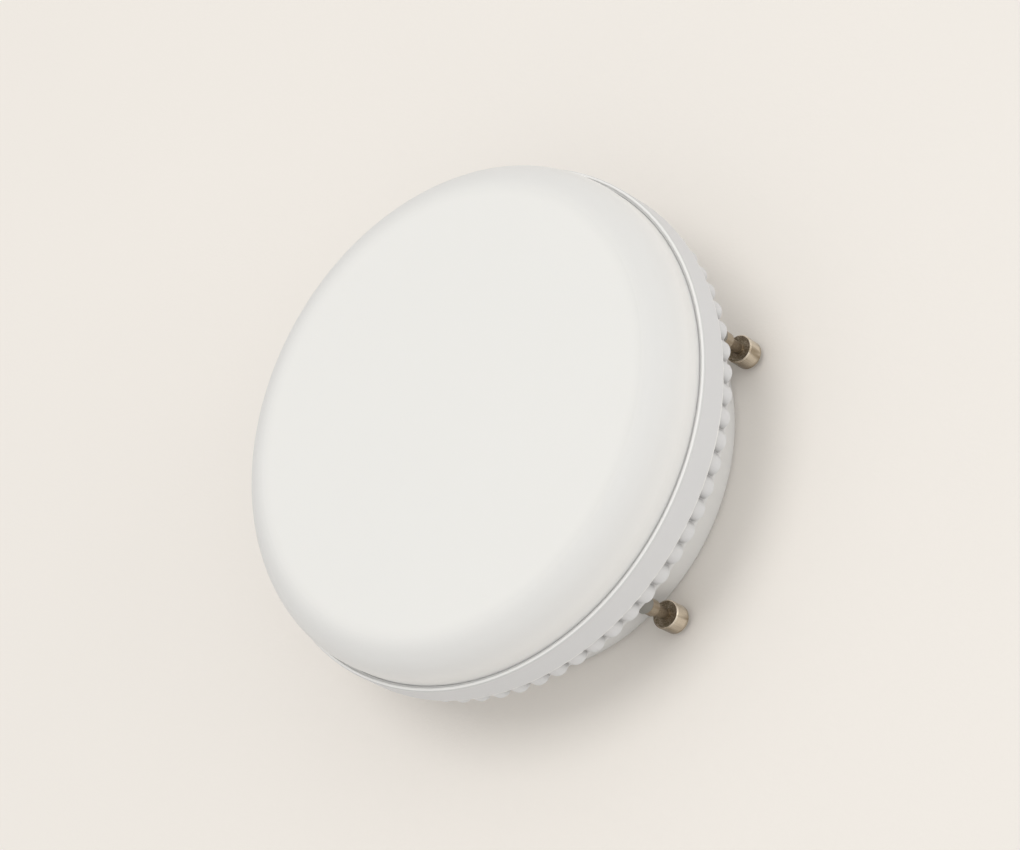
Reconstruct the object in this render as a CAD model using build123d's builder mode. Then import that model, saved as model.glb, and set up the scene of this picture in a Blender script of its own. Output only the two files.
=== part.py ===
# LED disc lamp with two contact pins on its back.
# Millimetres. +Z runs from the boss to the light face, the lamp stands on its boss at z = 0,
# and +X points midway between the two pins.
from build123d import *
import math
import os

os.makedirs("parts", exist_ok=True)

# Contact pins
pin_circle_radius = 33.7
pin_half_angle = 33.5          # degrees from +X to each pin
pin_head_radius = 2.0
pin_head_length = 2.75
pin_neck_radius = 0.8
pin_neck_length = 2.9
pin_shoulder_radius = 1.15
pin_shoulder_length = 1.5
pin_chamfer = 0.15
pin_end_gap = 0.75             # the pin ends stay this far above the boss end
pin_tail_length = 1.5          # reach above the inner floor
bush_radius = 1.3
bush_wall = 0.35

# Boss and flange, which go into the lamp holder
boss_depth = 10.4              # flange to boss end
boss_draft = 1.0               # growth of the radius from the end to the flange
boss_edge_radius = 0.8
holder_gap = 1.7               # between the pin heads and the boss
flange_margin = 0.3            # flange outside the bushes
flange_edge_radius = 0.4
recess_margin = 5.5            # width of the ring that the lamp stands on
recess_depth = 0.5
gate_radius = 1.6              # moulding gate mark in the middle of the recess
gate_depth = 0.3

# Wall, fluted skirt and rim
wall_height = 1.5
wall_flare = 0.76
flute_height = 3.0
flute_depth = 1.0
flute_count = 72
lobe_radius = 1.6
lobe_end_radius = 0.6
rim_height = 4.5
rim_overhang = 1.44
rim_taper = 0.2
rim_edge_radius = 0.22
lip_wall = 0.42
lip_flat = 0.08                # left on the lip's top outside its rounding
wall = 1.6
flange_wall = 1.6
end_wall = 1.6
ledge_depth = 0.9
seat_width = 1.5

# Diffuser
seam_gap = 0.35
diffuser_rise = 6.5
diffuser_wall = 1.5
diffuser_draft = 0.15
diffuser_crown = 0.15
diffuser_corner = 4.5
diffuser_flange = 1.2
skirt_wall = 1.2
skirt_gap = 0.15
skirt_floor_gap = 0.1
bead_height = 0.35
bead_width = 0.9
bead_rise = 0.7                # bead's lower edge above the diffuser's foot
bead_gap = 0.1

# Plates under the diffuser
plate_gap = 0.2
spreader_thickness = 1.2
spreader_chamfer = 0.2
led_board_thickness = 1.2
led_board_margin = 0.5         # LED board inside the diffuser's skirt
insulator_thickness = 0.3
insulator_gap = 0.3
led_ring_counts = (15, 9, 6)   # from the board's edge inwards
led_ring_spacing = 9.95
led_inset = 3.2                # board's edge to the outer ring
led_length = 3.5
led_width = 2.8
led_height = 0.8
led_dish_radius = 1.1
led_dish_depth = 0.15
cable_hole_radius = 4.6
terminal_spacing = 4.4
terminal_width = 0.8
terminal_reach = 0.9           # above the LED board
terminal_gap = 0.15
terminal_chamfer = 0.16

# Screws and their posts
post_count = 3
post_radius = 2.7
post_inset = 1.9               # post axis inside the boss's inner wall
screw_radius = 1.05
screw_gap = 0.3                # round the screw in the plates
pilot_gap = 0.02
screw_head_radius = 2.0
screw_head_height = 1.2
screw_head_edge = 0.5
screw_length = 8.0             # under the head
cross_length = 2.2
cross_width = 0.6
cross_depth = 0.6

# Driver board
pad_height = 2.0
pad_radius = 2.4
pad_inset = 3.2                # board's edge to the pad's middle
pad_count = 4
driver_thickness = 1.2
driver_edge_gap = 0.8
driver_screw_length = 2.8

# Driver parts. Each margin runs from the board's edge to the part.
part_gap = 0.45                # between a screw head and the part beside it
headroom = 1.4                 # over the tallest part
input_can_radius = 3.15
input_can_length = 11.0
output_can_radius = 3.9
output_can_length = 12.5
output_can_margin = 3.9
can_edge_radius = 0.4
can_groove = 0.35
can_groove_place = 2.0         # from the sealed end
can_leg_spacing = 2.5
can_leg_reach = 1.6            # past the sealed end
core_radius = 4.0
core_height = 7.2
core_flange = 1.0
core_leg_radius = 1.9
core_margin = 5.9
core_angle = 223.5
winding_inset = 0.5            # inside the core's flanges
winding_chamfer = 0.15
film_size = (9.0, 4.2, 7.6)    # along the edge, inwards, up
film_margin = 7.9
film_angle = 161.0
film_chamfer = 0.5
bridge_size = (4.8, 4.0, 2.4)
bridge_margin = 7.6
bridge_angle = 281.0
chip_size = (5.0, 4.0, 1.5)
chip_place_radius = 7.6
chip_angle = 43.0
package_chamfer = 0.3
varistor_radius = 3.4
varistor_thickness = 2.8
varistor_edge_radius = 0.85
varistor_leg = 0.9
varistor_leg_spacing = 3.4
varistor_margin = 3.85
varistor_angle = 192.0
fuse_radius = 1.5
fuse_length = 7.0
fuse_edge_radius = 0.75
fuse_margin = 3.8
fuse_angle = 248.0
leg_radius = 0.3
leg_bend_radius = 0.75
small_chip_size = (2.0, 1.25, 0.6)
small_chip_places = [          # radius and angle
    (8.3, 114), (5.7, 217), (6.1, 314), (11.3, 312), (7.7, 253), (13.6, 41),
]

# Leads and solder
lead_radius = 0.6
lead_bend_radius = 2.2
lead_inset = 1.6               # driver board's edge to where a lead meets it
washer_radius = 1.25
washer_thickness = 0.4
solder_margin = 0.15           # solder past the pin's tail and past the lead's end
joint_radius = 1.0
joint_height = 0.7
joint_taper = 25.0

# Heights
flange_z = boss_depth
skirt_z = flange_z + wall_height
crease_z = skirt_z + flute_height
seam_z = crease_z + rim_height
ledge_z = seam_z - ledge_depth
face_z = seam_z + diffuser_rise
floor_z = flange_z + flange_wall
boss_floor_z = recess_depth + end_wall
driver_z = boss_floor_z + pad_height
driver_top_z = driver_z + driver_thickness
tallest_part = max(
    2 * output_can_radius, 2 * input_can_radius, film_size[2], core_height, varistor_leg + 2 * varistor_radius
)
seat_z = driver_top_z + tallest_part + headroom + insulator_thickness
spreader_top_z = seat_z + spreader_thickness
led_board_top_z = spreader_top_z + led_board_thickness

# Radii, from the pins outwards and inwards
boss_radius = pin_circle_radius - pin_head_radius - holder_gap
boss_root_radius = boss_radius + boss_draft
flange_radius = pin_circle_radius + bush_radius + flange_margin
root_radius = flange_radius + wall_flare
rim_radius = root_radius + rim_overhang
lip_radius = rim_radius - rim_taper
lip_bore_radius = lip_radius - lip_wall
bore_radius = root_radius - wall
cavity_radius = bore_radius - seat_width
boss_bore_radius = boss_radius - wall
recess_radius = boss_radius - recess_margin
diffuser_radius = lip_bore_radius - seam_gap
skirt_radius = bore_radius - skirt_gap
skirt_z_bottom = spreader_top_z + skirt_floor_gap
bead_z = skirt_z_bottom + bead_rise
plate_radius = bore_radius - plate_gap
led_board_radius = skirt_radius - skirt_wall - led_board_margin
post_circle_radius = boss_bore_radius - post_inset
driver_radius = post_circle_radius - post_radius - driver_edge_gap
pad_circle_radius = driver_radius - pad_inset
lead_drop_radius = driver_radius - lead_inset
input_can_place_radius = pad_circle_radius - screw_head_radius - part_gap - input_can_radius
output_can_place_radius = driver_radius - output_can_margin - output_can_radius
core_place_radius = driver_radius - core_margin - core_radius
film_place_radius = driver_radius - film_margin - film_size[1] / 2
bridge_place_radius = driver_radius - bridge_margin - bridge_size[1] / 2
varistor_place_radius = driver_radius - varistor_margin - varistor_thickness / 2
fuse_place_radius = driver_radius - fuse_margin - fuse_radius
post_start_angle = 60.0
solder_flat = pin_neck_radius + solder_margin
solder_radius = math.hypot(solder_flat, lead_radius) + solder_margin
solder_height = 2 * (lead_radius + solder_margin)
tiny = 0.001


def pins():
    """the two pins' places, with X outwards"""
    return PolarLocations(pin_circle_radius, 2, -pin_half_angle, 2 * pin_half_angle, endpoint=True)


def rings(part, radius, z):
    """round edges of a turned shape at a radius and a height"""
    return part.edges().filter_by(GeomType.CIRCLE).filter_by(
        lambda e: abs(e.radius - radius) < tiny and abs(e.center().Z - z) < tiny
    )


# Flute lobe: a low round rib that ends in a rounded nose
with BuildPart() as lobe:
    with BuildSketch(Plane.XY.offset(skirt_z)):
        with Locations((root_radius + flute_depth - lobe_radius, 0)):
            Circle(lobe_radius)
        Circle(root_radius - wall / 2, mode=Mode.SUBTRACT)
    extrude(amount=flute_height + rim_edge_radius)
    fillet(rings(lobe, lobe_radius, skirt_z), lobe_end_radius)

# Housing: boss, flange, wall, fluted skirt and rim in one moulding
with BuildPart() as housing:
    with BuildSketch(Plane.XZ):
        with BuildLine():
            Polyline(
                (0, recess_depth),
                (recess_radius, recess_depth),
                (recess_radius, 0),
                (boss_radius, 0),
                (boss_root_radius, flange_z),
                (flange_radius, flange_z),
                (root_radius, skirt_z),
                (root_radius, crease_z),
                (rim_radius, crease_z),
                (lip_radius, seam_z),
                (lip_bore_radius, seam_z),
                (lip_bore_radius, ledge_z),
                (bore_radius, ledge_z),
                (bore_radius, bead_z + bead_width + bead_gap),
                (bore_radius + bead_height, bead_z + bead_width / 2 + bead_gap),
                (bore_radius + bead_height, bead_z + bead_width / 2 - bead_gap),
                (bore_radius, bead_z - bead_gap),
                (bore_radius, seat_z),
                (cavity_radius, seat_z),
                (cavity_radius, floor_z),
                (boss_root_radius - wall, floor_z),
                (boss_bore_radius, boss_floor_z),
                (0, boss_floor_z),
                close=True,
            )
        make_face()
    revolve(axis=Axis.Z)
    fillet(rings(housing, boss_radius, 0), boss_edge_radius)
    fillet(rings(housing, boss_root_radius, flange_z), flange_edge_radius)
    fillet(rings(housing, flange_radius, flange_z), flange_edge_radius)
    fillet(rings(housing, rim_radius, crease_z), rim_edge_radius)
    fillet(rings(housing, lip_radius, seam_z), lip_wall - lip_flat)
    with PolarLocations(0, flute_count):
        add(lobe.part)
    # Gate mark in the recess of the boss end
    with BuildSketch(Plane.XY.offset(recess_depth)):
        Circle(gate_radius)
    extrude(amount=gate_depth, mode=Mode.SUBTRACT)
    # Screw posts, joined to the boss wall
    with BuildSketch(Plane.XY.offset(boss_floor_z)):
        with PolarLocations(post_circle_radius, post_count, post_start_angle):
            Circle(post_radius)
    extrude(amount=seat_z - boss_floor_z)
    with BuildSketch(Plane.XY.offset(seat_z)):
        with PolarLocations(post_circle_radius, post_count, post_start_angle):
            Circle(screw_radius + pilot_gap)
    extrude(amount=-screw_length, mode=Mode.SUBTRACT)
    # Low pads that carry the driver board
    with BuildSketch(Plane.XY.offset(boss_floor_z)):
        with PolarLocations(pad_circle_radius, pad_count):
            Circle(pad_radius)
    extrude(amount=pad_height)
    with BuildSketch(Plane.XY.offset(driver_z)):
        with PolarLocations(pad_circle_radius, 2, 90):
            Circle(screw_radius + pilot_gap)
    extrude(amount=driver_thickness - driver_screw_length - pilot_gap, mode=Mode.SUBTRACT)
    # Pin holes through the flange, and room for the tails above it
    with BuildSketch(Plane.XY.offset(flange_z)):
        with pins():
            Circle(pin_neck_radius + bush_wall)
    extrude(amount=flange_wall, mode=Mode.SUBTRACT)
    with BuildSketch(Plane.XY.offset(floor_z)):
        with pins():
            Circle(washer_radius + plate_gap)
    extrude(amount=seat_z - floor_z, mode=Mode.SUBTRACT)

# Diffuser: opal face, shoulder, and a skirt with a snap bead
shoulder_radius = diffuser_radius - diffuser_draft
with BuildPart() as diffuser:
    with BuildSketch(Plane.XZ) as diffuser_section:
        with BuildLine():
            outer_line = Polyline(
                (shoulder_radius, face_z - diffuser_crown),
                (diffuser_radius, ledge_z),
                (skirt_radius, ledge_z),
                (skirt_radius, bead_z + bead_width),
                (skirt_radius + bead_height, bead_z + bead_width / 2),
                (skirt_radius, bead_z),
                (skirt_radius, skirt_z_bottom),
                (skirt_radius - skirt_wall, skirt_z_bottom),
                (skirt_radius - skirt_wall, ledge_z + diffuser_flange),
                (diffuser_radius - diffuser_wall, ledge_z + diffuser_flange),
                (shoulder_radius - diffuser_wall, face_z - diffuser_crown - diffuser_wall),
            )
            TangentArc((0, face_z - diffuser_wall), outer_line @ 1, tangent=(1, 0))
            Line((0, face_z - diffuser_wall), (0, face_z))
            TangentArc((0, face_z), outer_line @ 0, tangent=(1, 0))
        make_face()
        # The two shoulder corners, picked by height in the sketch
        corners = diffuser_section.vertices().filter_by(lambda v: v.X > skirt_radius / 2).sort_by(Axis.Y)
        fillet([corners[-1]], diffuser_corner)
        fillet([corners[-2]], diffuser_corner - diffuser_wall)
    revolve(axis=Axis.Z)

# Heat spreader: punched aluminium plate on the housing's shoulder and posts
with BuildPart() as heat_spreader:
    with BuildSketch(Plane.XY.offset(seat_z)):
        Circle(plate_radius)
        Circle(cable_hole_radius, mode=Mode.SUBTRACT)
        with PolarLocations(post_circle_radius, post_count, post_start_angle):
            Circle(screw_radius + screw_gap, mode=Mode.SUBTRACT)
    extrude(amount=spreader_thickness)
    chamfer(rings(heat_spreader, plate_radius, spreader_top_z), spreader_chamfer)

# Insulating disc, stuck under the heat spreader round the posts
with BuildPart() as insulating_disc:
    with BuildSketch(Plane.XY.offset(seat_z)):
        Circle(cavity_radius - insulator_gap)
        Circle(cable_hole_radius, mode=Mode.SUBTRACT)
        with PolarLocations(post_circle_radius, post_count, post_start_angle):
            Circle(post_radius + insulator_gap, mode=Mode.SUBTRACT)
    extrude(amount=-insulator_thickness)

# LED board
with BuildPart() as led_board:
    with BuildSketch(Plane.XY.offset(spreader_top_z)):
        Circle(led_board_radius)
        with PolarLocations(post_circle_radius, post_count, post_start_angle):
            Circle(screw_radius + screw_gap, mode=Mode.SUBTRACT)
        with GridLocations(0, terminal_spacing, 1, 2):
            Circle(terminal_width / math.sqrt(2) + terminal_gap, mode=Mode.SUBTRACT)
    extrude(amount=led_board_thickness)

# LED chips in three rings, turned so that the screws pass between the outer ones
with BuildPart() as led_chips:
    for ring, ring_count in enumerate(led_ring_counts):
        ring_radius = led_board_radius - led_inset - ring * led_ring_spacing
        with BuildSketch(Plane.XY.offset(led_board_top_z)):
            with PolarLocations(ring_radius, ring_count, post_start_angle + 180 / ring_count):
                Rectangle(led_width, led_length)
        extrude(amount=led_height)
        with BuildSketch(Plane.XY.offset(led_board_top_z + led_height)):
            with PolarLocations(ring_radius, ring_count, post_start_angle + 180 / ring_count):
                Circle(led_dish_radius)
        extrude(amount=-led_dish_depth, mode=Mode.SUBTRACT)


def make_screw(under_head_z, length, plane):
    """pan-head screw with a cross recess, standing head up on a plane's origin"""
    with BuildPart(plane.offset(under_head_z)) as screw:
        Cylinder(screw_head_radius, screw_head_height, align=(Align.CENTER, Align.CENTER, Align.MIN))
        fillet(screw.edges().sort_by(Axis.Z)[-1], screw_head_edge)
        Cylinder(screw_radius, length, align=(Align.CENTER, Align.CENTER, Align.MAX))
        with BuildSketch(plane.offset(under_head_z + screw_head_height)):
            for turn in (0, 90):
                Rectangle(cross_length, cross_width, rotation=turn)
        extrude(amount=-cross_depth, mode=Mode.SUBTRACT)
    return screw.part


# Board screws, through both plates into the posts
with BuildPart() as board_screws:
    with PolarLocations(post_circle_radius, post_count, post_start_angle):
        add(make_screw(led_board_top_z, screw_length - pilot_gap, Plane.XY))

# Driver board, on the pads
with BuildPart() as driver_board:
    with BuildSketch(Plane.XY.offset(driver_z)):
        Circle(driver_radius)
        with PolarLocations(pad_circle_radius, 2, 90):
            Circle(screw_radius + screw_gap, mode=Mode.SUBTRACT)
    extrude(amount=driver_thickness)

with BuildPart() as driver_screws:
    with PolarLocations(pad_circle_radius, 2, 90):
        add(make_screw(driver_top_z, driver_screw_length, Plane.XY))


def board_plane(radius, angle):
    """plane on the driver board's top at a radius and an angle, with X along the circle"""
    outwards = Vector(1, 0, 0).rotate(Axis.Z, angle)
    return Plane(outwards * radius + Vector(0, 0, driver_top_z), x_dir=outwards.rotate(Axis.Z, 90))


def make_can(radius, length, base):
    """electrolytic capacitor that lies along the base plane's X, with two bent legs"""
    sealed_end = -length / 2
    axis_plane = Plane(base.from_local_coords((sealed_end, 0, radius)), x_dir=base.y_dir, z_dir=base.x_dir)
    with BuildPart() as can:
        with BuildSketch(axis_plane):
            Circle(radius)
        extrude(amount=length)
        fillet(can.edges(), can_edge_radius)
        # Crimp groove near the sealed end
        with BuildSketch(axis_plane.offset(can_groove_place)):
            Circle(radius)
            Circle(radius - can_groove, mode=Mode.SUBTRACT)
        extrude(amount=can_groove * 2, mode=Mode.SUBTRACT)
        for side in (-can_leg_spacing / 2, can_leg_spacing / 2):
            foot = base.from_local_coords((sealed_end - can_leg_reach, side, 0))
            knee = base.from_local_coords((sealed_end - can_leg_reach, side, radius))
            seal = base.from_local_coords((sealed_end + leg_radius, side, radius))
            with BuildLine():
                FilletPolyline(foot, knee, seal, radius=leg_bend_radius)
            with BuildSketch(Plane(foot, z_dir=base.z_dir)):
                Circle(leg_radius)
            sweep()
    return can.part


input_capacitor = make_can(input_can_radius, input_can_length, board_plane(input_can_place_radius, 90))
output_capacitor = make_can(output_can_radius, output_can_length, board_plane(output_can_place_radius, 0))

# Inductor: a drum core with its winding between the flanges
inductor_plane = board_plane(core_place_radius, core_angle)
with BuildPart() as inductor_core:
    with BuildSketch(inductor_plane):
        Circle(core_radius)
    extrude(amount=core_flange)
    with BuildSketch(inductor_plane.offset(core_flange)):
        Circle(core_leg_radius)
    extrude(amount=core_height - 2 * core_flange)
    with BuildSketch(inductor_plane.offset(core_height - core_flange)):
        Circle(core_radius)
    extrude(amount=core_flange)

with BuildPart() as inductor_winding:
    with BuildSketch(inductor_plane.offset(core_flange)):
        Circle(core_radius - winding_inset)
        Circle(core_leg_radius + pilot_gap, mode=Mode.SUBTRACT)
    extrude(amount=core_height - 2 * core_flange)
    chamfer(inductor_winding.edges().group_by(SortBy.LENGTH)[-1], winding_chamfer)


def make_block(size, base, chamfer_size):
    """moulded block on the driver board, with its top edges broken"""
    with BuildPart() as block:
        with BuildSketch(base):
            Rectangle(size[0], size[1])
        extrude(amount=size[2])
        chamfer(block.faces().sort_by(Axis.Z)[-1].edges(), chamfer_size)
    return block.part


film_capacitor = make_block(film_size, board_plane(film_place_radius, film_angle), film_chamfer)
bridge_rectifier = make_block(bridge_size, board_plane(bridge_place_radius, bridge_angle), package_chamfer)
driver_chip = make_block(chip_size, board_plane(chip_place_radius, chip_angle), package_chamfer)

# Small chip resistors and capacitors
with BuildPart() as chip_parts:
    for place_radius, angle in small_chip_places:
        with BuildSketch(board_plane(place_radius, angle)):
            Rectangle(small_chip_size[0], small_chip_size[1])
        extrude(amount=small_chip_size[2])

# Varistor: a coated disc standing on two legs
varistor_base = board_plane(varistor_place_radius, varistor_angle)
varistor_center = varistor_base.offset(varistor_radius + varistor_leg)
with BuildPart() as varistor:
    with BuildSketch(Plane(varistor_center.origin, x_dir=varistor_base.x_dir, z_dir=varistor_base.y_dir)):
        Circle(varistor_radius)
    extrude(amount=varistor_thickness / 2, both=True)
    fillet(varistor.edges().filter_by(GeomType.CIRCLE), varistor_edge_radius)
    with BuildSketch(varistor_base):
        with GridLocations(varistor_leg_spacing, 0, 2, 1):
            Circle(leg_radius)
    extrude(amount=varistor_leg + varistor_radius / 2)

# Fusible resistor on a lead that bends down to the board at both ends
fuse_base = board_plane(fuse_place_radius, fuse_angle)
fuse_lift = fuse_radius + leg_radius
fuse_axis = Plane(fuse_base.offset(fuse_lift).origin, x_dir=fuse_base.y_dir, z_dir=fuse_base.x_dir)
fuse_reach = fuse_length / 2 + leg_bend_radius
with BuildPart() as fuse_resistor:
    with BuildSketch(fuse_axis):
        Circle(fuse_radius)
    extrude(amount=fuse_length / 2, both=True)
    fillet(fuse_resistor.edges().filter_by(GeomType.CIRCLE), fuse_edge_radius)
    with BuildLine():
        FilletPolyline(
            *[fuse_base.from_local_coords(place) for place in (
                (-fuse_reach, 0, 0),
                (-fuse_reach, 0, fuse_lift),
                (fuse_reach, 0, fuse_lift),
                (fuse_reach, 0, 0),
            )],
            radius=leg_bend_radius,
        )
    with BuildSketch(Plane(fuse_base.from_local_coords((-fuse_reach, 0, 0)), z_dir=fuse_base.z_dir)):
        Circle(leg_radius)
    sweep()

# Terminal posts, from the driver board through the plates to the LED board's top
with BuildPart() as led_terminal_posts:
    with BuildSketch(Plane.XY.offset(driver_top_z)):
        with GridLocations(0, terminal_spacing, 1, 2):
            Rectangle(terminal_width, terminal_width)
    extrude(amount=led_board_top_z + terminal_reach - driver_top_z)
    chamfer(led_terminal_posts.faces().group_by(Axis.Z)[-1].edges(), terminal_chamfer)


# Contact pin: head, neck, shoulder and a tail that runs through the flange
def make_pin(angle):
    """turned contact pin at an angle from +X"""
    head_top_z = pin_end_gap + pin_head_length
    neck_top_z = head_top_z + pin_neck_length
    shoulder_top_z = neck_top_z + pin_shoulder_length
    pin_plane = Plane.XZ.rotated((0, 0, angle))
    with BuildPart() as pin:
        with BuildSketch(pin_plane):
            with BuildLine():
                Polyline(
                    (pin_circle_radius, pin_end_gap),
                    (pin_circle_radius + pin_head_radius, pin_end_gap),
                    (pin_circle_radius + pin_head_radius, head_top_z),
                    (pin_circle_radius + pin_neck_radius, head_top_z),
                    (pin_circle_radius + pin_neck_radius, neck_top_z),
                    (pin_circle_radius + pin_shoulder_radius, neck_top_z),
                    (pin_circle_radius + pin_shoulder_radius, shoulder_top_z),
                    (pin_circle_radius + pin_neck_radius, shoulder_top_z),
                    (pin_circle_radius + pin_neck_radius, floor_z + pin_tail_length),
                    (pin_circle_radius, floor_z + pin_tail_length),
                    close=True,
                )
            make_face()
        direction = math.radians(angle)
        foot = (pin_circle_radius * math.cos(direction), pin_circle_radius * math.sin(direction), 0)
        revolve(axis=Axis(foot, (0, 0, 1)))
        chamfer(rings(pin, pin_head_radius, pin_end_gap), pin_chamfer)
        chamfer(rings(pin, pin_head_radius, head_top_z), pin_chamfer)
    return pin.part


contact_pin_a = make_pin(pin_half_angle)
contact_pin_b = make_pin(-pin_half_angle)


def make_bush(angle):
    """insulating bush round a pin, under the flange"""
    bush_foot_z = pin_end_gap + pin_head_length + pin_neck_length + pin_shoulder_length
    with BuildPart() as bush:
        with BuildSketch(Plane.XY.offset(bush_foot_z)):
            with PolarLocations(pin_circle_radius, 1, angle):
                Circle(bush_radius)
        extrude(amount=flange_z - bush_foot_z)
        fillet(rings(bush, bush_radius, bush_foot_z), bush_wall)
        with BuildSketch(Plane.XY.offset(flange_z)):
            with PolarLocations(pin_circle_radius, 1, angle):
                Circle(pin_neck_radius + bush_wall - pilot_gap)
        extrude(amount=flange_wall)
        with BuildSketch(Plane.XY.offset(bush_foot_z)):
            with PolarLocations(pin_circle_radius, 1, angle):
                Circle(pin_neck_radius + pilot_gap)
        extrude(amount=floor_z - bush_foot_z, mode=Mode.SUBTRACT)
    return bush.part


pin_bush_a = make_bush(pin_half_angle)
pin_bush_b = make_bush(-pin_half_angle)

# Push-on washers that hold the pins from inside
with BuildPart() as pin_washers:
    with BuildSketch(Plane.XY.offset(floor_z)):
        with pins():
            Circle(washer_radius)
            Circle(pin_neck_radius + pilot_gap, mode=Mode.SUBTRACT)
    extrude(amount=washer_thickness)

# Solder: a blob on each pin's tail with a flat for its lead, and a cone round each terminal post
lead_z = floor_z + washer_thickness + solder_height / 2
with BuildPart() as solder_joints:
    with BuildSketch(Plane.XY.offset(floor_z + washer_thickness)):
        with pins():
            Circle(solder_radius)
            with Locations((-solder_flat - solder_radius, 0)):
                Rectangle(2 * solder_radius, 2 * solder_radius, mode=Mode.SUBTRACT)
            Circle(pin_neck_radius + pilot_gap, mode=Mode.SUBTRACT)
    extrude(amount=solder_height)
    with BuildSketch(Plane.XY.offset(led_board_top_z)):
        with GridLocations(0, terminal_spacing, 1, 2):
            Circle(joint_radius)
    extrude(amount=joint_height, taper=joint_taper)
    with BuildSketch(Plane.XY.offset(led_board_top_z)):
        with GridLocations(0, terminal_spacing, 1, 2):
            Rectangle(terminal_width + pilot_gap, terminal_width + pilot_gap)
    extrude(amount=joint_height, mode=Mode.SUBTRACT)


def make_lead(angle):
    """insulated lead from a pin's solder joint down to the driver board"""
    run = Plane.XZ.rotated((0, 0, angle))
    start = run.from_local_coords((pin_circle_radius - solder_flat, lead_z, 0))
    corner = run.from_local_coords((lead_drop_radius, lead_z, 0))
    end = run.from_local_coords((lead_drop_radius, driver_top_z, 0))
    with BuildPart() as lead:
        with BuildLine():
            FilletPolyline(start, corner, end, radius=lead_bend_radius)
        with BuildSketch(Plane(start, z_dir=corner - start)):
            Circle(lead_radius)
        sweep()
    return lead.part


lead_wire_a = make_lead(pin_half_angle)
lead_wire_b = make_lead(-pin_half_angle)

pieces = {
    "housing": housing.part,
    "diffuser": diffuser.part,
    "heat_spreader": heat_spreader.part,
    "insulating_disc": insulating_disc.part,
    "led_board": led_board.part,
    "led_chips": led_chips.part,
    "board_screws": board_screws.part,
    "driver_board": driver_board.part,
    "driver_screws": driver_screws.part,
    "input_capacitor": input_capacitor,
    "output_capacitor": output_capacitor,
    "inductor_core": inductor_core.part,
    "inductor_winding": inductor_winding.part,
    "film_capacitor": film_capacitor,
    "bridge_rectifier": bridge_rectifier,
    "driver_chip": driver_chip,
    "chip_parts": chip_parts.part,
    "varistor": varistor.part,
    "fuse_resistor": fuse_resistor.part,
    "led_terminal_posts": led_terminal_posts.part,
    "contact_pin_a": contact_pin_a,
    "contact_pin_b": contact_pin_b,
    "pin_bush_a": pin_bush_a,
    "pin_bush_b": pin_bush_b,
    "pin_washers": pin_washers.part,
    "solder_joints": solder_joints.part,
    "lead_wire_a": lead_wire_a,
    "lead_wire_b": lead_wire_b,
}
for label, piece in pieces.items():
    piece.label = label
    export_step(piece, f"parts/{label}.step")
print("rim diameter", round(2 * rim_radius, 3), "height", round(face_z, 3))
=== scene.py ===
# Looks of the LED disc lamp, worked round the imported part
import math

import bmesh
import bpy
from mathutils import Matrix, Vector


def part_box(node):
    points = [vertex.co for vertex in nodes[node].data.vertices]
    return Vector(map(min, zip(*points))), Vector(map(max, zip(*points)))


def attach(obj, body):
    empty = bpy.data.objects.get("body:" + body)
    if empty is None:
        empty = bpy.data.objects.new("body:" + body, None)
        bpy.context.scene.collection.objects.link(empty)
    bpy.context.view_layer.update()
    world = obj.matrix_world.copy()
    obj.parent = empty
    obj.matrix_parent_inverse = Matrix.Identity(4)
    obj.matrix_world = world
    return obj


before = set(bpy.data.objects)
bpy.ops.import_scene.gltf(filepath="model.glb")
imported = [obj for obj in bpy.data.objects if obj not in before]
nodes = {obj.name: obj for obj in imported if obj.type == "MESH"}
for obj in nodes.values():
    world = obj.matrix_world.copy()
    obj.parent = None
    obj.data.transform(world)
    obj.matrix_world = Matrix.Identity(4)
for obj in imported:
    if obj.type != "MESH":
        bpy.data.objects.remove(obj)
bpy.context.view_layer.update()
mm = 0.001


def srgb(red, green, blue):
    # screen colour, 0 to 255, to the linear colour that the shaders want
    def linear(level):
        level /= 255
        return level / 12.92 if level <= 0.04045 else ((level + 0.055) / 1.055) ** 2.4
    return (linear(red), linear(green), linear(blue), 1.0)


def fromAngles(azimuth, elevation):
    # unit vector at two angles in degrees
    flat = math.cos(math.radians(elevation))
    return Vector((flat * math.cos(math.radians(azimuth)), flat * math.sin(math.radians(azimuth)),
                   math.sin(math.radians(elevation))))


# Shared shader node groups. Lengths going in are millimetres on the part.
groupLook = {
    "warmPatch": 2.7,      # patches of warmth are this much larger than those of lightness
    "bevelSamples": 6,
    "hollowSamples": 8,
}


def startGroup(name, inputs, outputs):
    tree = bpy.data.node_groups.new(name, "ShaderNodeTree")
    for label, kind, value in inputs:
        socket = tree.interface.new_socket(name=label, in_out="INPUT", socket_type="NodeSocket" + kind)
        socket.default_value = value
    for label, kind in outputs:
        tree.interface.new_socket(name=label, in_out="OUTPUT", socket_type="NodeSocket" + kind)
    return tree, tree.nodes.new("NodeGroupInput"), tree.nodes.new("NodeGroupOutput")


def addNode(tree, kind, **settings):
    node = tree.nodes.new("ShaderNode" + kind)
    for key, value in settings.items():
        setattr(node, key, value)
    return node


def calc(tree, operation, first, second=None, clamp=False):
    # one Math node; a number goes on the socket and anything else is linked
    node = addNode(tree, "Math", operation=operation, use_clamp=clamp)
    for index, value in enumerate((first, second)):
        if value is None:
            continue
        if isinstance(value, (int, float)):
            node.inputs[index].default_value = value
        else:
            tree.links.new(value, node.inputs[index])
    return node.outputs[0]


def partPoint(tree):
    # the point on the part in millimetres
    coordinates = addNode(tree, "TexCoord")
    scaled = addNode(tree, "VectorMath", operation="SCALE")
    scaled.inputs["Scale"].default_value = 1 / mm
    tree.links.new(coordinates.outputs["Object"], scaled.inputs[0])
    return scaled.outputs[0]


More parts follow.
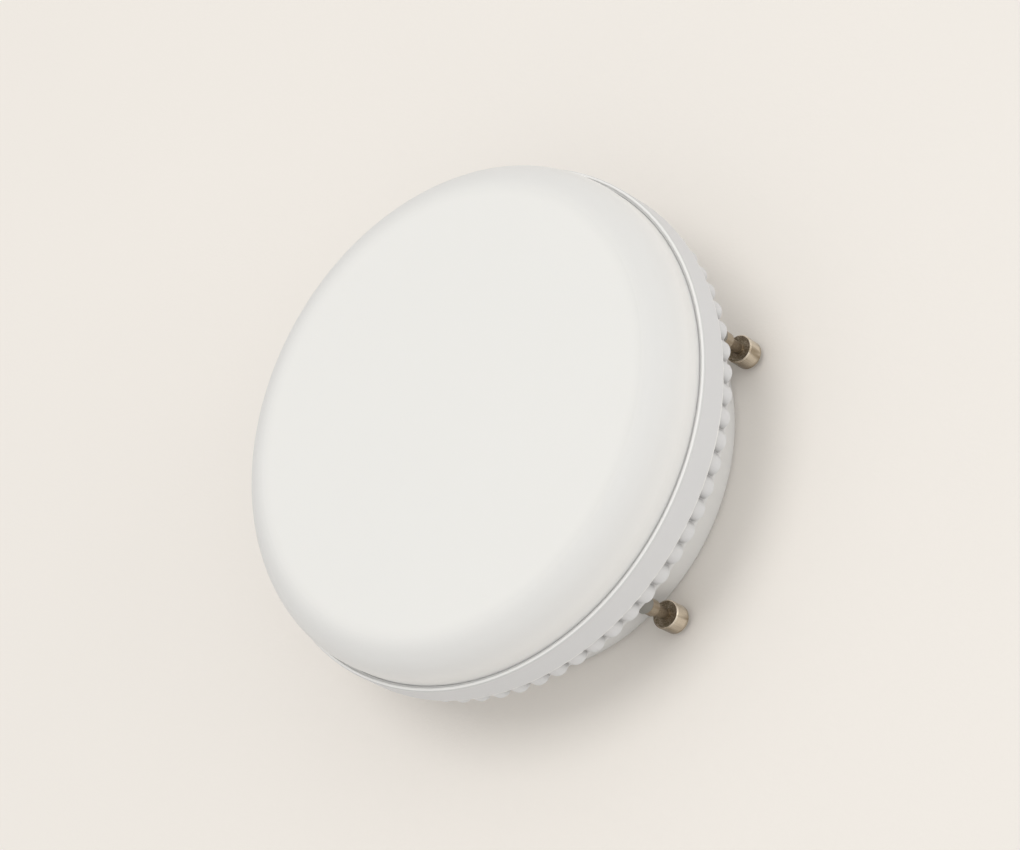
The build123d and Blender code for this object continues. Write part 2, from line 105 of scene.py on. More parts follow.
def noiseOn(tree, point, size, detail=2.0, roughness=0.5):
    # noise whose lumps are about as large as the size socket or number says
    noise = addNode(tree, "TexNoise")
    noise.inputs["Detail"].default_value = detail
    noise.inputs["Roughness"].default_value = roughness
    tree.links.new(point, noise.inputs["Vector"])
    tree.links.new(calc(tree, "DIVIDE", 1.0, size), noise.inputs["Scale"])
    return noise.outputs["Fac"]


def makeGrainGroup():
    # fine spark-eroded grain over a slow orange peel, as a height in millimetres
    tree, entry, leave = startGroup(
        "mouldGrain",
        [("Grain Size", "Float", 0.25), ("Grain Depth", "Float", 0.01),
         ("Wave Size", "Float", 4.0), ("Wave Depth", "Float", 0.01)],
        [("Height", "Float"), ("Speck", "Float")],
    )
    point = partPoint(tree)
    grain = noiseOn(tree, point, entry.outputs["Grain Size"], detail=3.0, roughness=0.6)
    wave = noiseOn(tree, point, entry.outputs["Wave Size"], detail=1.0, roughness=0.4)
    grainHeight = calc(tree, "MULTIPLY", grain, entry.outputs["Grain Depth"])
    waveHeight = calc(tree, "MULTIPLY", wave, entry.outputs["Wave Depth"])
    tree.links.new(calc(tree, "ADD", grainHeight, waveHeight), leave.inputs["Height"])
    tree.links.new(grain, leave.inputs["Speck"])
    return tree


def makeToneGroup(look):
    # slow change of lightness and warmth over a surface
    tree, entry, leave = startGroup(
        "toneDrift",
        [("Color", "Color", (0.8, 0.8, 0.8, 1.0)), ("Size", "Float", 12.0),
         ("Lightness", "Float", 0.03), ("Warmth", "Float", 0.02)],
        [("Color", "Color")],
    )
    point = partPoint(tree)
    slow = noiseOn(tree, point, entry.outputs["Size"], detail=3.0, roughness=0.55)
    warmSize = calc(tree, "MULTIPLY", entry.outputs["Size"], look["warmPatch"])
    warm = noiseOn(tree, point, warmSize, detail=1.0)
    # each noise runs from 0 to 1, so half is taken off to centre it
    lift = calc(tree, "MULTIPLY", calc(tree, "SUBTRACT", slow, 0.5), entry.outputs["Lightness"])
    light = calc(tree, "ADD", calc(tree, "MULTIPLY", lift, 2.0), 1.0)
    tilt = calc(tree, "MULTIPLY", calc(tree, "SUBTRACT", warm, 0.5), entry.outputs["Warmth"])
    gains = addNode(tree, "CombineXYZ")
    tree.links.new(calc(tree, "ADD", light, tilt), gains.inputs[0])
    tree.links.new(light, gains.inputs[1])
    tree.links.new(calc(tree, "SUBTRACT", light, tilt), gains.inputs[2])
    product = addNode(tree, "VectorMath", operation="MULTIPLY")
    tree.links.new(entry.outputs["Color"], product.inputs[0])
    tree.links.new(gains.outputs[0], product.inputs[1])
    tree.links.new(product.outputs[0], leave.inputs["Color"])
    return tree


def makeEdgeGroup(look):
    # mask that is 1 along convex and concave edges, from a rounded copy of the normal
    tree, entry, leave = startGroup(
        "edgeMask", [("Width", "Float", 0.3), ("Strength", "Float", 6.0)], [("Mask", "Float")]
    )
    bevel = addNode(tree, "Bevel", samples=look["bevelSamples"])
    tree.links.new(calc(tree, "MULTIPLY", entry.outputs["Width"], mm), bevel.inputs["Radius"])
    geometry = addNode(tree, "NewGeometry")
    agree = addNode(tree, "VectorMath", operation="DOT_PRODUCT")
    tree.links.new(bevel.outputs[0], agree.inputs[0])
    tree.links.new(geometry.outputs["Normal"], agree.inputs[1])
    bend = calc(tree, "SUBTRACT", 1.0, agree.outputs["Value"])
    mask = calc(tree, "MULTIPLY", bend, entry.outputs["Strength"], clamp=True)
    tree.links.new(mask, leave.inputs["Mask"])
    return tree


def makeHollowGroup(look):
    # mask that is 1 where the surface sits in a hollow
    tree, entry, leave = startGroup(
        "hollowMask", [("Reach", "Float", 1.5), ("Strength", "Float", 1.2)], [("Mask", "Float")]
    )
    occlusion = addNode(tree, "AmbientOcclusion", samples=look["hollowSamples"])
    tree.links.new(calc(tree, "MULTIPLY", entry.outputs["Reach"], mm), occlusion.inputs["Distance"])
    closed = calc(tree, "SUBTRACT", 1.0, occlusion.outputs["AO"])
    mask = calc(tree, "MULTIPLY", closed, entry.outputs["Strength"], clamp=True)
    tree.links.new(mask, leave.inputs["Mask"])
    return tree


def makeTurnedGroup():
    # lathe lines round an upright axis: rings on end faces and bands on sides
    tree, entry, leave = startGroup(
        "turnedLines",
        [("Axis X", "Float", 0.0), ("Axis Y", "Float", 0.0), ("Line Size", "Float", 0.06)],
        [("Height", "Float"), ("Radius", "Float"), ("Rise", "Float")],
    )
    point = partPoint(tree)
    split = addNode(tree, "SeparateXYZ")
    tree.links.new(point, split.inputs[0])
    across = calc(tree, "SUBTRACT", split.outputs["X"], entry.outputs["Axis X"])
    along = calc(tree, "SUBTRACT", split.outputs["Y"], entry.outputs["Axis Y"])
    squares = calc(tree, "ADD", calc(tree, "MULTIPLY", across, across),
                   calc(tree, "MULTIPLY", along, along))
    radius = calc(tree, "SQRT", squares)
    pair = addNode(tree, "CombineXYZ")
    tree.links.new(radius, pair.inputs[0])
    tree.links.new(split.outputs["Z"], pair.inputs[1])
    lines = noiseOn(tree, pair.outputs[0], entry.outputs["Line Size"], roughness=0.7)
    tree.links.new(lines, leave.inputs["Height"])
    tree.links.new(radius, leave.inputs["Radius"])
    tree.links.new(split.outputs["Z"], leave.inputs["Rise"])
    return tree


grainGroup = makeGrainGroup()
toneGroup = makeToneGroup(groupLook)
edgeGroup = makeEdgeGroup(groupLook)
hollowGroup = makeHollowGroup(groupLook)
turnedGroup = makeTurnedGroup()
print("node groups made")


# Helpers that the materials share

def startMaterial(name):
    material = bpy.data.materials.new(name)
    material.use_nodes = True
    tree = material.node_tree
    return material, tree, tree.nodes["Principled BSDF"]


def useGroup(tree, group, values):
    # the values are keyed by the group's input names
    node = tree.nodes.new("ShaderNodeGroup")
    node.node_tree = group
    for label, value in values.items():
        node.inputs[label].default_value = value
    return node


def bumpFrom(tree, height, shader, normal=None):
    # heights are in millimetres
    bump = addNode(tree, "Bump")
    bump.inputs["Strength"].default_value = 1.0
    bump.inputs["Distance"].default_value = mm
    tree.links.new(height, bump.inputs["Height"])
    if normal is not None:
        tree.links.new(normal, bump.inputs["Normal"])
    tree.links.new(bump.outputs[0], shader.inputs["Normal"])


def mixColor(tree, factor, first, second):
    mix = addNode(tree, "Mix", data_type="RGBA")
    # sockets 6 and 7 take the node's two colours
    for index, value in ((0, factor), (6, first), (7, second)):
        if isinstance(value, (int, float, tuple)):
            mix.inputs[index].default_value = value
        else:
            tree.links.new(value, mix.inputs[index])
    return mix.outputs[2]


def spread(tree, value, low, high, outLow, outHigh, curve="LINEAR"):
    # carries the range from low to high over to the one from outLow to outHigh
    ranged = addNode(tree, "MapRange", interpolation_type=curve)
    tree.links.new(value, ranged.inputs["Value"])
    limits = {"From Min": low, "From Max": high, "To Min": outLow, "To Max": outHigh}
    for label, number in limits.items():
        ranged.inputs[label].default_value = number
    return ranged.outputs["Result"]


def addSkin(shader, weight, reach, depth):
    # light wanders this deep under the surface, in millimetres
    shader.inputs["Subsurface Weight"].default_value = weight
    shader.inputs["Subsurface Radius"].default_value = reach
    shader.inputs["Subsurface Scale"].default_value = depth * mm


def dress(material, *names):
    for name in names:
        slots = nodes[name].data.materials
        slots.clear()
        slots.append(material)


# Housing: white moulded plastic with a fine eroded grain, with painted shade in its hollows and under the
# lip, painted highlights on the lip and along the rim's lower edge, and a boss painted lighter than the
# rim. Lengths and heights are millimetres.
housingLook = {
    "color": srgb(213, 214, 216),
    # painted light: the boss below the flange gets a lighter copy of the housing colour
    "bossLitColor": srgb(220, 220, 219),
    # painted shade that darkens the hollows
    "hollowShadeColor": srgb(152, 152, 151),
    "edgeColor": srgb(224, 224, 223),
    # painted highlight on the lip and along the rim's lower edge
    "paintedHighlightColor": srgb(232, 232, 231),
    # painted shade in a line under the lip
    "lipShadeColor": srgb(204, 205, 205),
    "lipFoot": 19.29,      # the painted highlight on the lip starts here
    "lipBlend": 0.05,      # softness of the lip's painted highlight and of the painted shade line under it
    "lipShadeWidth": 0.2,   # the painted shade line under the lip
    "rimFoot": 14.9,       # lower edge of the rim
    "rimFootWidth": 0.24,
    "rimInside": 37.0,     # the flutes end inside this radius
    "flangeHeight": 10.4,  # below this the boss is painted lighter and gets less painted shade in its corners
    "flangeBlend": 0.2,
    "bossHollowShade": 0.3,       # share of the painted hollow shade that is left on the boss
    # reach and strength of the painted shade in the hollows
    "hollowShade": {"Reach": 1.6, "Strength": 1.15},
    "wear": {"Width": 0.25, "Strength": 3.0},
    "wearShare": 0.35,
    "roughness": (0.42, 0.54),
    "specks": (0.3, 0.7),  # range of the grain's noise that changes the roughness
    "grain": {"Grain Size": 0.22, "Grain Depth": 0.006, "Wave Size": 5.0, "Wave Depth": 0.02},
    "drift": {"Size": 14.0, "Lightness": 0.012, "Warmth": 0.008},
    "edgeRound": 0.16,
    "skin": {"weight": 0.15, "reach": (1.0, 1.0, 1.0), "depth": 0.6},
}


def makeHousingMaterial(look):
    material, tree, shader = startMaterial("whiteMoulding")
    turned = useGroup(tree, turnedGroup, {})
    rise = turned.outputs["Rise"]
    flange, soft = look["flangeHeight"], look["flangeBlend"]
    above = spread(tree, rise, flange - soft, flange + soft, 0.0, 1.0)
    tone = useGroup(tree, toneGroup, look["drift"])
    # painted light: the boss below the flange is lighter than the rim above it
    tree.links.new(mixColor(tree, above, look["bossLitColor"], look["color"]), tone.inputs["Color"])
    grain = useGroup(tree, grainGroup, look["grain"])
    hollow = useGroup(tree, hollowGroup, look["hollowShade"])
    edge = useGroup(tree, edgeGroup, look["wear"])
    # painted shade darkens the hollows, with less of it on the boss
    hollowShadeShare = spread(tree, above, 0.0, 1.0, look["bossHollowShade"], 1.0)
    hollowShade = calc(tree, "MULTIPLY", hollow.outputs["Mask"], hollowShadeShare)
    shaded = mixColor(tree, hollowShade, tone.outputs["Color"], look["hollowShadeColor"])
    wear = calc(tree, "MULTIPLY", edge.outputs["Mask"], look["wearShare"])
    worn = mixColor(tree, wear, shaded, look["edgeColor"])
    # the lip gets a painted highlight down to one height, with a line of painted shade under it
    top, blend = look["lipFoot"], look["lipBlend"]
    foot = top - look["lipShadeWidth"]
    lipShade = calc(tree, "MULTIPLY", spread(tree, rise, foot - blend, foot, 0.0, 1.0),
                   spread(tree, rise, top, top + blend, 1.0, 0.0))
    lipShaded = mixColor(tree, lipShade, worn, look["lipShadeColor"])
    withPaintedLight = mixColor(tree, spread(tree, rise, top, top + blend, 0.0, 1.0), lipShaded, look["paintedHighlightColor"])
    # a painted highlight runs along the rim's lower edge
    half = look["rimFootWidth"] / 2
    away = calc(tree, "ABSOLUTE", calc(tree, "SUBTRACT", rise, look["rimFoot"] + half))
    rimFootHighlight = calc(tree, "MULTIPLY", spread(tree, away, half, look["rimFootWidth"], 1.0, 0.0),
                    calc(tree, "GREATER_THAN", turned.outputs["Radius"], look["rimInside"]))
    tree.links.new(mixColor(tree, rimFootHighlight, withPaintedLight, look["paintedHighlightColor"]), shader.inputs["Base Color"])
    roughness = spread(tree, grain.outputs["Speck"], *look["specks"], *look["roughness"])
    tree.links.new(roughness, shader.inputs["Roughness"])
    rounded = addNode(tree, "Bevel", samples=groupLook["bevelSamples"])
    rounded.inputs["Radius"].default_value = look["edgeRound"] * mm
    bumpFrom(tree, grain.outputs["Height"], shader, rounded.outputs[0])
    addSkin(shader, **look["skin"])
    return material


# Diffuser: opal plastic, satin outside, that lets light wander a little under its skin, with painted
# shade on its shoulder
diffuserLook = {
    "color": srgb(233, 233, 231),
    # painted shade on the shoulder, which gives way to a lighter wall colour lower down
    "shoulderColor": srgb(221, 221, 220),
    "wallColor": srgb(230, 230, 229),
    "wall": (21.5, 24.0),  # the painted shade gives way to the wall colour below these heights
    "shoulder": (30.3, 34.3),   # painted shade darkens the face outside these radii
    "roughness": (0.5, 0.6),
    "specks": (0.3, 0.7),
    "specular": 0.35,
    "grain": {"Grain Size": 0.12, "Grain Depth": 0.002, "Wave Size": 9.0, "Wave Depth": 0.03},
    "drift": {"Size": 22.0, "Lightness": 0.006, "Warmth": 0.006},
    "skin": {"weight": 0.35, "reach": (1.0, 0.98, 0.95), "depth": 0.7},
}


def makeDiffuserMaterial(look):
    material, tree, shader = startMaterial("opalPlastic")
    tone = useGroup(tree, toneGroup, look["drift"])
    turned = useGroup(tree, turnedGroup, {})
    # painted shade on the shoulder
    outer = spread(tree, turned.outputs["Radius"], *look["shoulder"], 0.0, 1.0, "SMOOTHSTEP")
    shoulderShaded = mixColor(tree, outer, look["color"], look["shoulderColor"])
    upright = spread(tree, turned.outputs["Rise"], *look["wall"], 1.0, 0.0, "SMOOTHSTEP")
    tree.links.new(mixColor(tree, upright, shoulderShaded, look["wallColor"]), tone.inputs["Color"])
    grain = useGroup(tree, grainGroup, look["grain"])
    tree.links.new(tone.outputs["Color"], shader.inputs["Base Color"])
    roughness = spread(tree, grain.outputs["Speck"], *look["specks"], *look["roughness"])
    tree.links.new(roughness, shader.inputs["Roughness"])
    bumpFrom(tree, grain.outputs["Height"], shader)
    shader.inputs["Specular IOR Level"].default_value = look["specular"]
    addSkin(shader, **look["skin"])
    return material


dress(makeHousingMaterial(housingLook), "housing")
dress(makeDiffuserMaterial(diffuserLook), "diffuser")
print("housing and diffuser dressed")


# Sealing bead: a pale soft ring laid in the seam between the diffuser and the lip, in millimetres
beadLook = {
    "inner": 36.56,        # clear of the diffuser's wall
    "outer": 36.86,        # clear of the lip's bore
    "top": 19.2,
    "height": 0.4,
    "sag": 0.06,           # the top's hollow between its two sides
    "across": 8,           # steps over the top
    "around": 288,
    "smoothAbove": 0.5,    # faces that tilt up or down more than this are shaded smooth
    "color": srgb(212, 212, 211),
    "roughness": 0.5,
    "drift": 0.02,
}


def makeSealingBead(look):
    crossing = []   # radius and height of each point round the section
    for step in range(look["across"] + 1):
        share = step / look["across"]
        crossing.append((look["inner"] + (look["outer"] - look["inner"]) * share,
                         look["top"] - look["sag"] * math.sin(math.pi * share)))
    foot = look["top"] - look["height"]
    crossing += [(look["outer"], foot), (look["inner"], foot)]
    mesh = bmesh.new()
    rings = []
    for turn in range(look["around"]):
        angle = math.tau * turn / look["around"]
        points = [(radius * math.cos(angle) * mm, radius * math.sin(angle) * mm, rise * mm)
                  for radius, rise in crossing]
        rings.append([mesh.verts.new(point) for point in points])
    for ring, following in zip(rings, rings[1:] + rings[:1]):
        for index in range(len(crossing)):
            after = (index + 1) % len(crossing)
            mesh.faces.new((ring[index], following[index], following[after], ring[after]))
    bmesh.ops.recalc_face_normals(mesh, faces=mesh.faces)
    data = bpy.data.meshes.new("seamBead")
    mesh.to_mesh(data)
    mesh.free()
    for face in data.polygons:
        face.use_smooth = abs(face.normal.z) > look["smoothAbove"]
    bead = bpy.data.objects.new("seam_bead", data)
    bpy.context.scene.collection.objects.link(bead)
    return bead


# Contact pins: turned metal, brushed round, tarnished brown on the faces that look inwards, with painted
# shade on one side, towards the head's outer end and in upright streaks, and a painted highlight along
# the outer edges.
# Heights, radii and sizes are millimetres. A range is where a change starts and ends.
pinLook = {
    "color": srgb(244, 234, 218),
    "streak": srgb(216, 202, 180),
    "shade": srgb(150, 134, 111),
    # painted shade on one side of the pins
    "shadedSideColor": srgb(122, 106, 86),
    "tarnish": srgb(120, 107, 89),
    "fleck": srgb(192, 180, 162),
    # painted highlight along the outer edges
    "rim": srgb(250, 242, 230),
    "lineSize": 0.05,      # pitch of the lathe lines
    "grooveDepth": 0.012,
    "streakRange": (0.35, 0.65),
    "headTop": 3.5,        # height of the head's inner face
    "headBlend": 0.1,
    "innerTilt": (0.75, 0.95),    # how far up a face looks before it is brown
    "neckRange": (0.1, 0.4),      # the neck's brown comes in over these heights above the head
    "neckTop": 6.4,        # the shoulder starts here
    "neckStain": 0.95,     # how brown the neck is
    "neckFlecks": 0.3,
    "shoulderStain": 0.62,
    "fleckRange": (0.36, 0.66),
    "blotchSize": 0.7,
    "blotchRange": (0.35, 0.65),
    "blotchFlecks": 0.2,   # flecks that are left between the blotches
    "stripSize": 0.9,      # broad upright strips of painted dark reflection
    "stripSqueeze": 0.12,
    "stripRange": (0.45, 0.7),
    "stripShare": 0.8,
    "endRange": (0.8, 1.6),       # painted shade darkens the head below these heights too
    "endShare": 0.7,
    "shadedSide": 215.0,     # azimuth of the side with painted shade all along
    "shadedSideRange": (-0.65, 0.75),
    "rimInside": 1.6,      # the painted highlight along the edge lies outside this radius
    # edge mask for the painted highlight
    "edge": {"Width": 0.08, "Strength": 5.0},
    "grain": {"Grain Size": 0.18, "Grain Depth": 0.02, "Wave Size": 0.8, "Wave Depth": 0.02},
    "roughness": (0.22, 0.5),     # polished and stained
}


def stripPoint(tree, squeeze):
    # the point on the part squeezed in height, so that noise on it makes upright strips
    squeezed = addNode(tree, "VectorMath", operation="MULTIPLY")
    squeezed.inputs[1].default_value = (1.0, 1.0, squeeze)
    tree.links.new(partPoint(tree), squeezed.inputs[0])
    return squeezed.outputs[0]


def makePinMaterial(look, name, node):
    material, tree, shader = startMaterial(name)
    low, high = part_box(node)
    centre = (low + high) / 2 / mm
    turned = useGroup(tree, turnedGroup,
                      {"Axis X": centre.x, "Axis Y": centre.y, "Line Size": look["lineSize"]})
    geometry = addNode(tree, "NewGeometry")
    facing = addNode(tree, "SeparateXYZ")
    tree.links.new(geometry.outputs["True Normal"], facing.inputs[0])
    rise = turned.outputs["Rise"]
    # brown on the head's inner face, the neck and the shoulder, with lighter flecks
    inner = calc(tree, "MULTIPLY", spread(tree, facing.outputs["Z"], *look["innerTilt"], 0.0, 1.0),
                 calc(tree, "GREATER_THAN", rise, look["headTop"] - look["headBlend"]))
    neckFoot, neckFull = [look["headTop"] + height for height in look["neckRange"]]
    neck = spread(tree, rise, neckFoot, neckFull, 0.0, 1.0)
    worn = spread(tree, rise, look["neckTop"] - look["headBlend"], look["neckTop"],
                  look["neckStain"], look["shoulderStain"])
    stained = calc(tree, "MAXIMUM", inner, calc(tree, "MULTIPLY", neck, worn))
    grain = useGroup(tree, grainGroup, look["grain"])
    blotch = noiseOn(tree, partPoint(tree), look["blotchSize"])
    fleck = calc(tree, "MULTIPLY", spread(tree, grain.outputs["Speck"], *look["fleckRange"], 0.0, 1.0),
                 spread(tree, blotch, *look["blotchRange"], look["blotchFlecks"], 1.0))
    fleck = calc(tree, "MULTIPLY", fleck, spread(tree, rise, neckFoot, neckFull, 1.0, look["neckFlecks"]))
    brown = mixColor(tree, fleck, look["tarnish"], look["fleck"])
    lines = spread(tree, turned.outputs["Height"], *look["streakRange"], 0.0, 1.0)
    streak = mixColor(tree, lines, look["color"], look["streak"])
    # painted shade towards the head's outer end, and painted dark reflection streaks along it
    patch = noiseOn(tree, stripPoint(tree, look["stripSqueeze"]), look["stripSize"], detail=1.0)
    reflectionStreaks = spread(tree, patch, *look["stripRange"], 0.0, look["stripShare"], "SMOOTHSTEP")
    endShade = spread(tree, rise, *look["endRange"], look["endShare"], 0.0, "SMOOTHSTEP")
    # painted shade on one side of the pin
    turn = addNode(tree, "VectorMath", operation="DOT_PRODUCT")
    turn.inputs[1].default_value = fromAngles(look["shadedSide"], 0.0)
    tree.links.new(geometry.outputs["True Normal"], turn.inputs[0])
    sideShade = spread(tree, turn.outputs["Value"], *look["shadedSideRange"], 0.0, 1.0, "SMOOTHSTEP")
    sideShaded = mixColor(tree, sideShade, streak, look["shadedSideColor"])
    withPaintedLight = mixColor(tree, calc(tree, "MAXIMUM", reflectionStreaks, endShade), sideShaded, look["shade"])
    metal = mixColor(tree, stained, withPaintedLight, brown)
    # painted highlight along the outer edges
    edge = useGroup(tree, edgeGroup, look["edge"])
    rimHighlightMask = calc(tree, "MULTIPLY", edge.outputs["Mask"],
                     calc(tree, "GREATER_THAN", turned.outputs["Radius"], look["rimInside"]))
    tree.links.new(mixColor(tree, rimHighlightMask, metal, look["rim"]), shader.inputs["Base Color"])
    shader.inputs["Metallic"].default_value = 1.0
    tree.links.new(spread(tree, stained, 0.0, 1.0, *look["roughness"]), shader.inputs["Roughness"])
    lineHeight = calc(tree, "MULTIPLY", turned.outputs["Height"], look["grooveDepth"])
    stainHeight = calc(tree, "MULTIPLY", grain.outputs["Height"], stained)
    bumpFrom(tree, calc(tree, "ADD", lineHeight, stainHeight), shader)
    return material


for side in "ab":
    pin = "contact_pin_" + side
    dress(makePinMaterial(pinLook, "turnedPin" + side.upper(), pin), pin)
print("contact pins dressed")


# Small and inner pieces share one recipe: a base colour that drifts, a grain and worn edges
plainLook = {
    "driftSize": 3.0,      # millimetres
    "grain": {"Wave Size": 2.0, "Wave Depth": 0.005},
    "wear": {"Width": 0.15, "Strength": 3.0},
    "wearShare": 0.2,
    "wearGain": 1.3,       # a worn edge is this much lighter than the base colour
    "wearLift": 0.05,
    "specks": (0.25, 0.75),
    "roughnessRange": 0.06,
}


def makePlainMaterial(name, color, roughness=0.5, metallic=0.0, grainSize=0.3, grainDepth=0.01,
                      drift=0.05, coat=0.0):
    look = plainLook
    material, tree, shader = startMaterial(name)
    tone = useGroup(tree, toneGroup, {"Color": color, "Size": look["driftSize"],
                                      "Lightness": drift, "Warmth": drift / 2})
    grain = useGroup(tree, grainGroup,
                     {"Grain Size": grainSize, "Grain Depth": grainDepth, **look["grain"]})
    edge = useGroup(tree, edgeGroup, look["wear"])
    light = tuple(min(1.0, level * look["wearGain"] + look["wearLift"]) for level in color[:3]) + (1.0,)
    wear = calc(tree, "MULTIPLY", edge.outputs["Mask"], look["wearShare"])
    tree.links.new(mixColor(tree, wear, tone.outputs["Color"], light), shader.inputs["Base Color"])
    tree.links.new(spread(tree, grain.outputs["Speck"], *look["specks"],
                          roughness - look["roughnessRange"], roughness + look["roughnessRange"]),
                   shader.inputs["Roughness"])
    shader.inputs["Metallic"].default_value = metallic
    shader.inputs["Coat Weight"].default_value = coat
    bumpFrom(tree, grain.outputs["Height"], shader)
    return material


innerLooks = {
    "greyBush": (["pin_bush_a", "pin_bush_b"],
                 dict(color=srgb(130, 128, 122), roughness=0.6, grainDepth=0.02, drift=0.3)),
    "aluminiumPlate": (["heat_spreader"],
                       dict(color=srgb(208, 210, 212), roughness=0.35, metallic=1.0)),
    "fibrePaper": (["insulating_disc"],
                   dict(color=srgb(206, 198, 178), roughness=0.8, grainDepth=0.03)),
    "whiteBoard": (["led_board"],
                   dict(color=srgb(238, 238, 234), roughness=0.4, coat=0.2)),
    "ledPhosphor": (["led_chips"],
                    dict(color=srgb(236, 208, 92), roughness=0.45, drift=0.08)),
    "zincSteel": (["board_screws", "driver_screws", "pin_washers"],
                  dict(color=srgb(178, 180, 182), roughness=0.3, metallic=1.0)),
    "greenBoard": (["driver_board"],
                   dict(color=srgb(34, 92, 58), roughness=0.35, coat=0.4, drift=0.12)),
    "canSleeve": (["input_capacitor", "output_capacitor"],
                  dict(color=srgb(38, 42, 52), roughness=0.3, coat=0.3)),
    "ferrite": (["inductor_core"],
                dict(color=srgb(58, 56, 56), roughness=0.6, grainSize=0.15)),
    "filmBox": (["film_capacitor"],
                dict(color=srgb(178, 58, 42), roughness=0.4)),
    "blackPackage": (["bridge_rectifier", "driver_chip"],
                     dict(color=srgb(36, 36, 37), roughness=0.55)),
    "chipCeramic": (["chip_parts"],
                    dict(color=srgb(176, 158, 132), roughness=0.5)),
    "varistorCoat": (["varistor"],
                     dict(color=srgb(44, 92, 166), roughness=0.4, coat=0.3)),
    "fuseBody": (["fuse_resistor"],
                 dict(color=srgb(96, 148, 132), roughness=0.45)),
    "tinnedBrass": (["led_terminal_posts"],
                    dict(color=srgb(206, 198, 176), roughness=0.3, metallic=1.0)),
    "solder": (["solder_joints"],
               dict(color=srgb(196, 198, 200), roughness=0.25, metallic=1.0, grainSize=0.6)),
    "leadSleeve": (["lead_wire_a", "lead_wire_b"],
                   dict(color=srgb(196, 60, 48), roughness=0.5)),
    "copperWire": (["inductor_winding"],
                   dict(color=srgb(184, 106, 60), roughness=0.3, metallic=1.0)),
}
for lookName, (lookNodes, values) in innerLooks.items():
    dress(makePlainMaterial(lookName, **values), *lookNodes)

sealingBead = makeSealingBead(beadLook)
softSealant = makePlainMaterial("softSealant", beadLook["color"], beadLook["roughness"],
                                drift=beadLook["drift"])
sealingBead.data.materials.append(softSealant)
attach(sealingBead, "root")
print("inner pieces dressed and the seam's bead laid")


# Floor: pale paper, see-through from below and open under the boss, so that its end can be looked at
floorLook = {
    "size": 6.0,           # metres
    "color": srgb(237, 233, 228),
    "roughness": 0.8,
    "specular": 0.2,
    "drift": {"Size": 60.0, "Lightness": 0.01, "Warmth": 0.01},
    "grain": {"Grain Size": 0.5, "Grain Depth": 0.02, "Wave Size": 20.0, "Wave Depth": 0.05},
    "openRadius": 29.6,    # millimetres, just inside the boss
}


def makeFloor(look):
    bpy.ops.mesh.primitive_plane_add(size=look["size"], location=(0, 0, 0))
    floor = bpy.context.object
    floor.name = "floor"
    material, tree, shader = startMaterial("palePaper")
    tone = useGroup(tree, toneGroup, {"Color": look["color"], **look["drift"]})
    tree.links.new(tone.outputs["Color"], shader.inputs["Base Color"])
    shader.inputs["Roughness"].default_value = look["roughness"]
    shader.inputs["Specular IOR Level"].default_value = look["specular"]
    grain = useGroup(tree, grainGroup, look["grain"])
    bumpFrom(tree, grain.outputs["Height"], shader)
    clear = addNode(tree, "BsdfTransparent")
    geometry = addNode(tree, "NewGeometry")
    choice = addNode(tree, "MixShader")
    turned = useGroup(tree, turnedGroup, {})
    under = calc(tree, "LESS_THAN", turned.outputs["Radius"], look["openRadius"])
    tree.links.new(calc(tree, "MAXIMUM", geometry.outputs["Backfacing"], under), choice.inputs[0])
    tree.links.new(shader.outputs[0], choice.inputs[1])
    tree.links.new(clear.outputs[0], choice.inputs[2])
    tree.links.new(choice.outputs[0], tree.nodes["Material Output"].inputs["Surface"])
    floor.data.materials.append(material)


makeFloor(floorLook)


# Lights: a large soft key nearly overhead, a weak one low on the pins' side, and a pale room
# that is brighter on that side. Distances and sizes are metres, powers are watts.
lightLooks = {
    "key": {"azimuth": 80.0, "elevation": 84.0, "distance": 1.4, "size": 0.8, "power": 4.8,
            "color": (1.0, 0.985, 0.96)},
    "side": {"azimuth": 22.0, "elevation": 10.0, "distance": 0.8, "size": 0.6, "power": 0.9,
             "color": (1.0, 0.99, 0.975)},
}
roomLook = {
    "dimColor": (0.55, 0.543, 0.532, 1.0),
    "brightColor": (0.89, 0.878, 0.857, 1.0),
    "azimuth": 10.0,       # the bright side of the room
    "elevation": 35.0,
}
seamHeight = 19.4          # millimetres, where the lights point


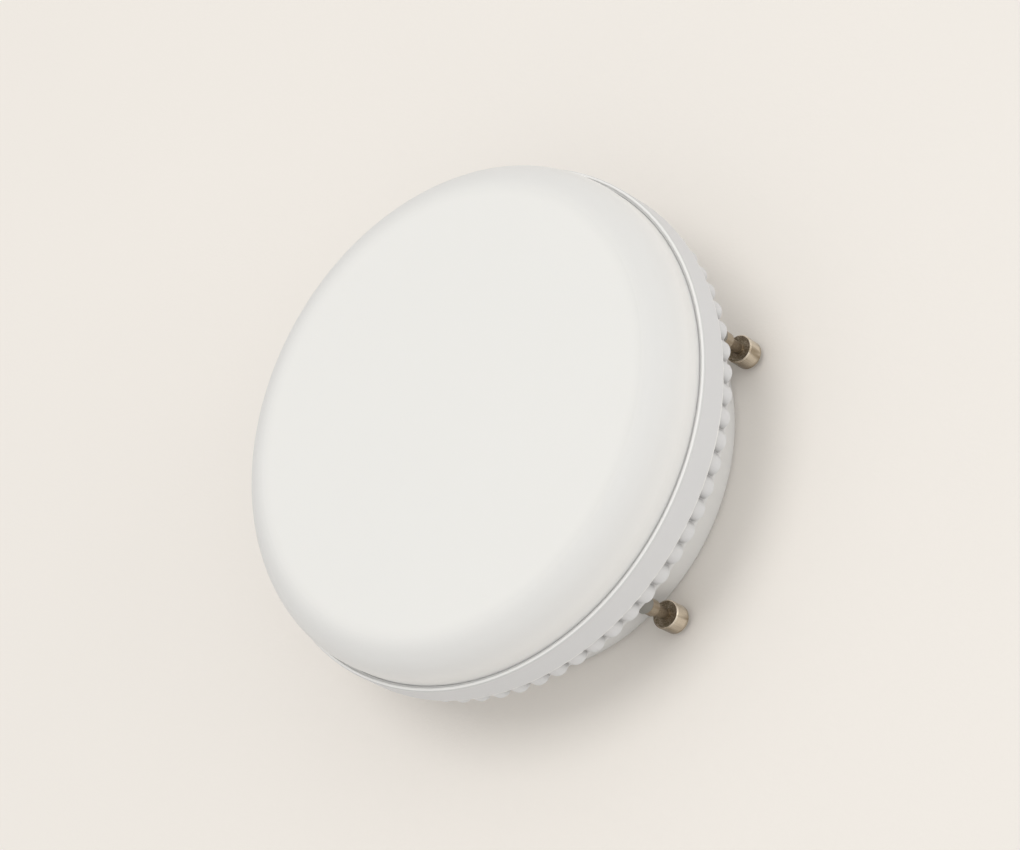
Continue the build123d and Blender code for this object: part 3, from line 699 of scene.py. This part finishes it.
def addLight(name, look, target):
    data = bpy.data.lights.new(name, "AREA")
    data.shape = "DISK"
    data.size = look["size"]
    data.energy = look["power"]
    data.color = look["color"]
    light = bpy.data.objects.new(name, data)
    bpy.context.scene.collection.objects.link(light)
    direction = fromAngles(look["azimuth"], look["elevation"])
    light.location = target + direction * look["distance"]
    light.rotation_euler = direction.to_track_quat("Z", "Y").to_euler()


def makeRoom(look):
    world = bpy.data.worlds.new("studio")
    bpy.context.scene.world = world
    world.use_nodes = True
    tree = world.node_tree
    coordinates = addNode(tree, "TexCoord")
    agree = addNode(tree, "VectorMath", operation="DOT_PRODUCT")
    agree.inputs[1].default_value = fromAngles(look["azimuth"], look["elevation"])
    tree.links.new(coordinates.outputs["Generated"], agree.inputs[0])
    share = spread(tree, agree.outputs["Value"], -1.0, 1.0, 0.0, 1.0)
    tree.links.new(mixColor(tree, share, look["dimColor"], look["brightColor"]),
                   tree.nodes["Background"].inputs["Color"])


lampMiddle = Vector((0, 0, seamHeight * mm))
for lightName, lightLook in lightLooks.items():
    addLight(lightName, lightLook, lampMiddle)
makeRoom(roomLook)
print("floor and lights set")


# Camera: above the lamp's edge between the pins, rolled as the photograph shows it.
# Lengths on the part are millimetres, and so are the lens and its sensor.
cameraLook = {
    "aim": (6.8, 0.3, 19.4),
    "azimuth": -16.38,
    "elevation": 47.25,
    "roll": -61.56,
    "distance": 347.1,
    "lens": 91.76,
    "sensor": 36.0,
    "nearest": 10.0,       # anything closer isn't drawn
}


def addCamera(look):
    data = bpy.data.cameras.new("camera")
    data.lens = look["lens"]
    data.sensor_width = look["sensor"]
    data.clip_start = look["nearest"] * mm
    camera = bpy.data.objects.new("camera", data)
    bpy.context.scene.collection.objects.link(camera)
    back = fromAngles(look["azimuth"], look["elevation"])
    level = back.to_track_quat("Z", "Y").to_matrix()
    turned = level @ Matrix.Rotation(math.radians(look["roll"]), 3, "Z")
    place = Vector(look["aim"]) * mm + back * look["distance"] * mm
    camera.matrix_world = Matrix.Translation(place) @ turned.to_4x4()
    bpy.context.scene.camera = camera


addCamera(cameraLook)
bpy.context.scene.view_settings.view_transform = "Standard"
print("camera set")
